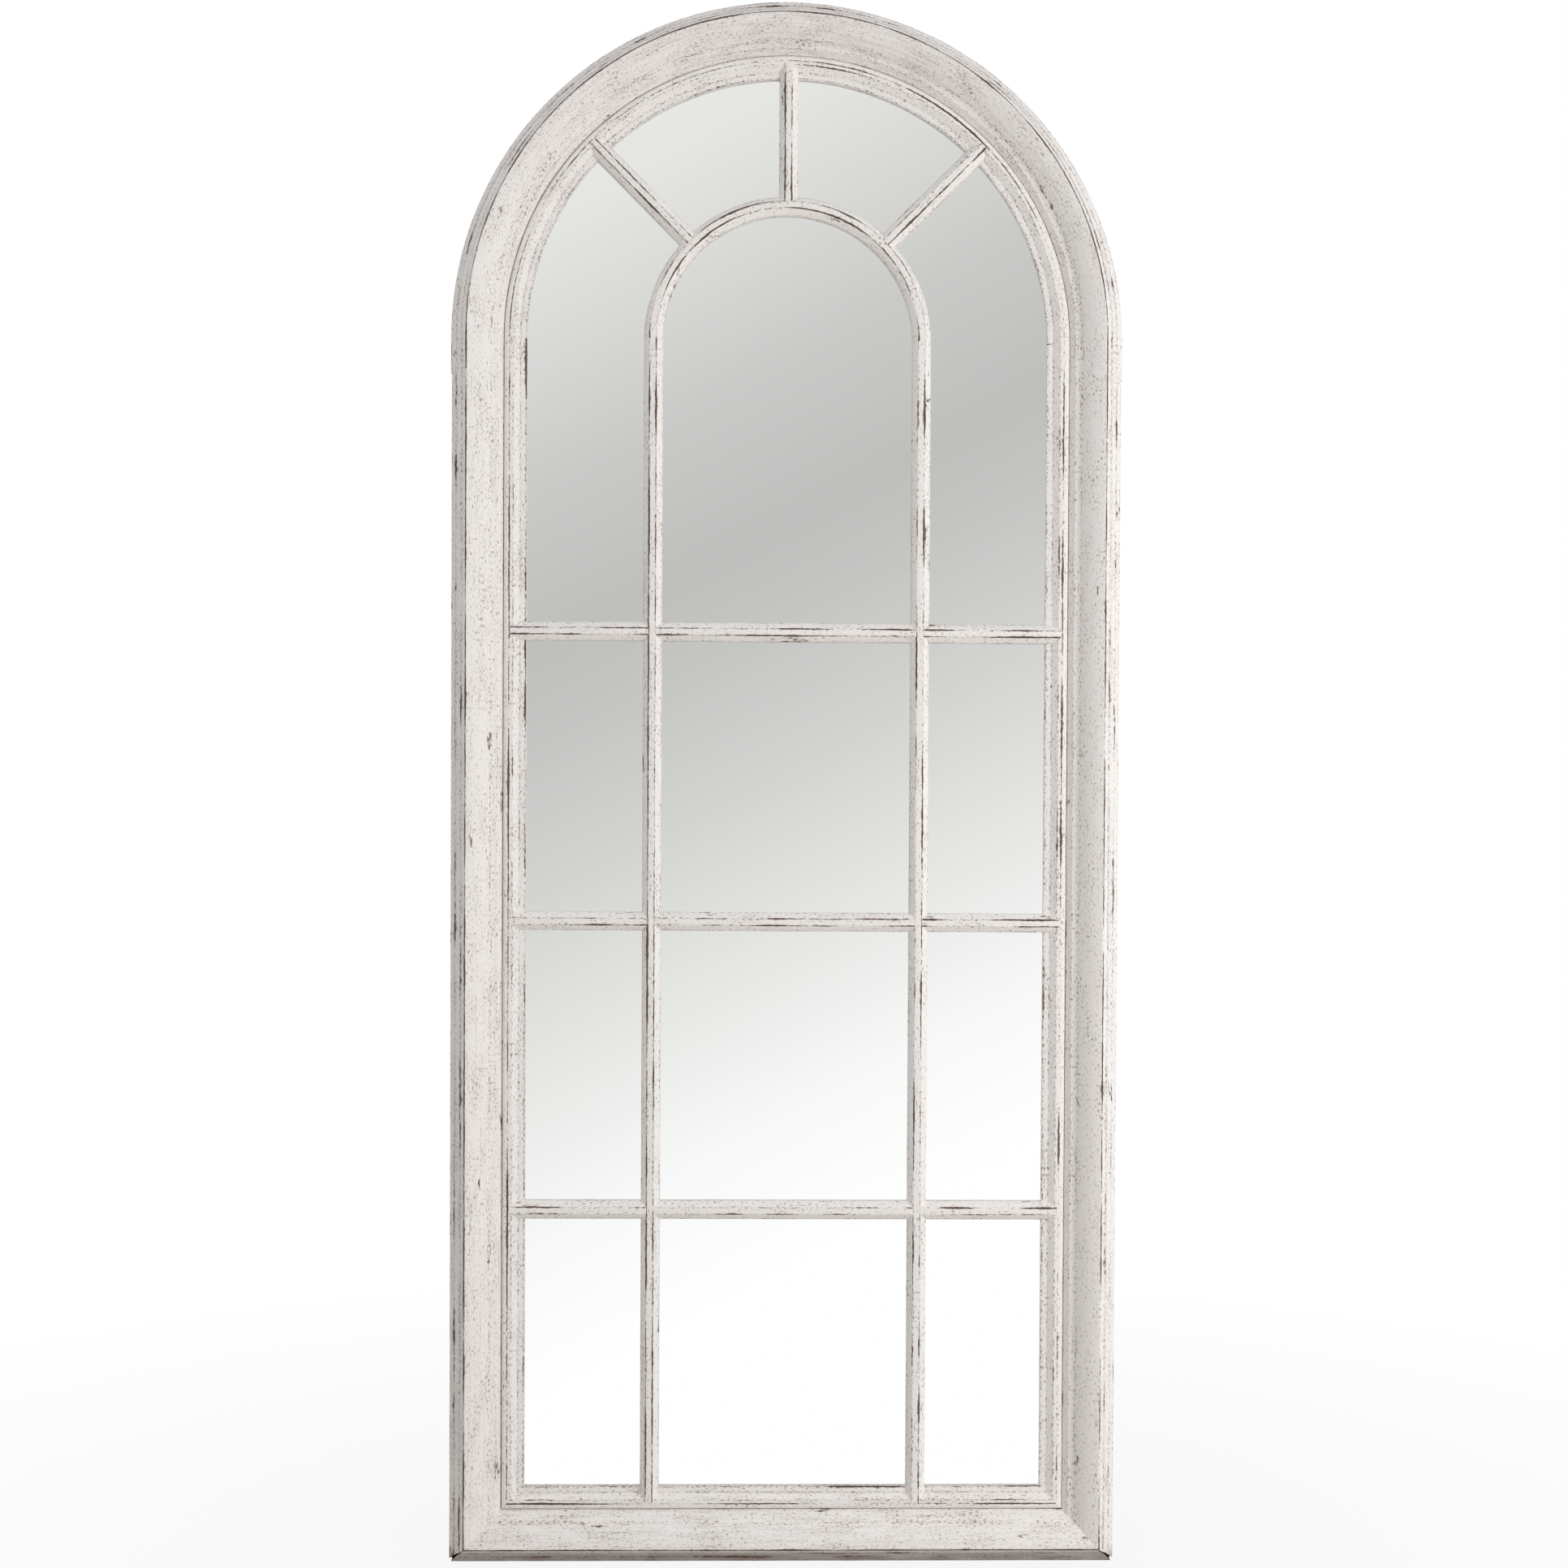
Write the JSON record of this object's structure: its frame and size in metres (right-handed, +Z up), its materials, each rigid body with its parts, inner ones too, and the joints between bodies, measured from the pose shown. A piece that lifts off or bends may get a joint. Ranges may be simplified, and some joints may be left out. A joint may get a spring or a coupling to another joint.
{
  "type": "arched window mirror",
  "caption": "Wall mirror shaped like an arched window: moulded wooden frame, beaded sash with glazing bars over mirror glass, backing board, hinged ring hangers and rubber bumpers.",
  "frame": {"origin": "middle of the footprint, bumpers included, at the level of the bottom edge", "axes": "+Z up, +X to the right of someone who looks at the glass, +Y towards the wall"},
  "size_m": [0.7, 0.0466, 1.63],
  "materials": {
    "painted_frame": "off-white paint dry-brushed over brown, worn on the edges",
    "painted_sash": "off-white paint dry-brushed over brown, speckled",
    "painted_bars": "off-white paint dry-brushed over brown, worn on the edges",
    "mirror_glass": "silvered float glass",
    "hardboard": "raw hardboard",
    "beech_dowel": "raw beech",
    "zinc_screws": "zinc plated",
    "zinc_steel": "zinc plated",
    "rubber": "matt"
  },
  "bodies": {
    "frame": {"bottom_rail": "painted_frame", "left_stile": "painted_frame", "right_stile": "painted_frame", "arch_head_left": "painted_frame", "arch_head_right": "painted_frame", "sash_bottom_rail": "painted_sash", "sash_stile_left": "painted_sash", "sash_stile_right": "painted_sash", "sash_arch_left": "painted_sash", "sash_arch_right": "painted_sash", "mullion_left": "painted_bars", "mullion_right": "painted_bars", "inner_arch": "painted_bars", "spoke_left": "painted_bars", "spoke_centre": "painted_bars", "spoke_right": "painted_bars", "transom_low_left": "painted_bars", "transom_low_centre": "painted_bars", "transom_low_right": "painted_bars", "transom_mid_left": "painted_bars", "transom_mid_centre": "painted_bars", "transom_mid_right": "painted_bars", "transom_high_left": "painted_bars", "transom_high_centre": "painted_bars", "transom_high_right": "painted_bars", "mirror_glass": "mirror_glass", "backing_board": "hardboard", "frame_dowels": "beech_dowel", "sash_screws": "zinc_screws", "board_screws": "zinc_screws", "hanger_screws": "zinc_screws", "hanger_left": "zinc_steel", "hanger_right": "zinc_steel", "bumper_left": "rubber", "bumper_right": "rubber"},
    "left_ring": {"ring_left": "zinc_steel"},
    "right_ring": {"ring_right": "zinc_steel"}
  },
  "joints": [
    {"name": "left_ring_hinge", "type": "hinge", "parent": "frame", "child": "left_ring", "pos_m": [-0.3275, 0.0198, 1.19], "axis": [1, 0, 0], "range_deg": [0, 180]},
    {"name": "right_ring_hinge", "type": "hinge", "parent": "frame", "child": "right_ring", "pos_m": [0.3275, 0.0198, 1.19], "axis": [1, 0, 0], "range_deg": [0, 180]}
  ]
}
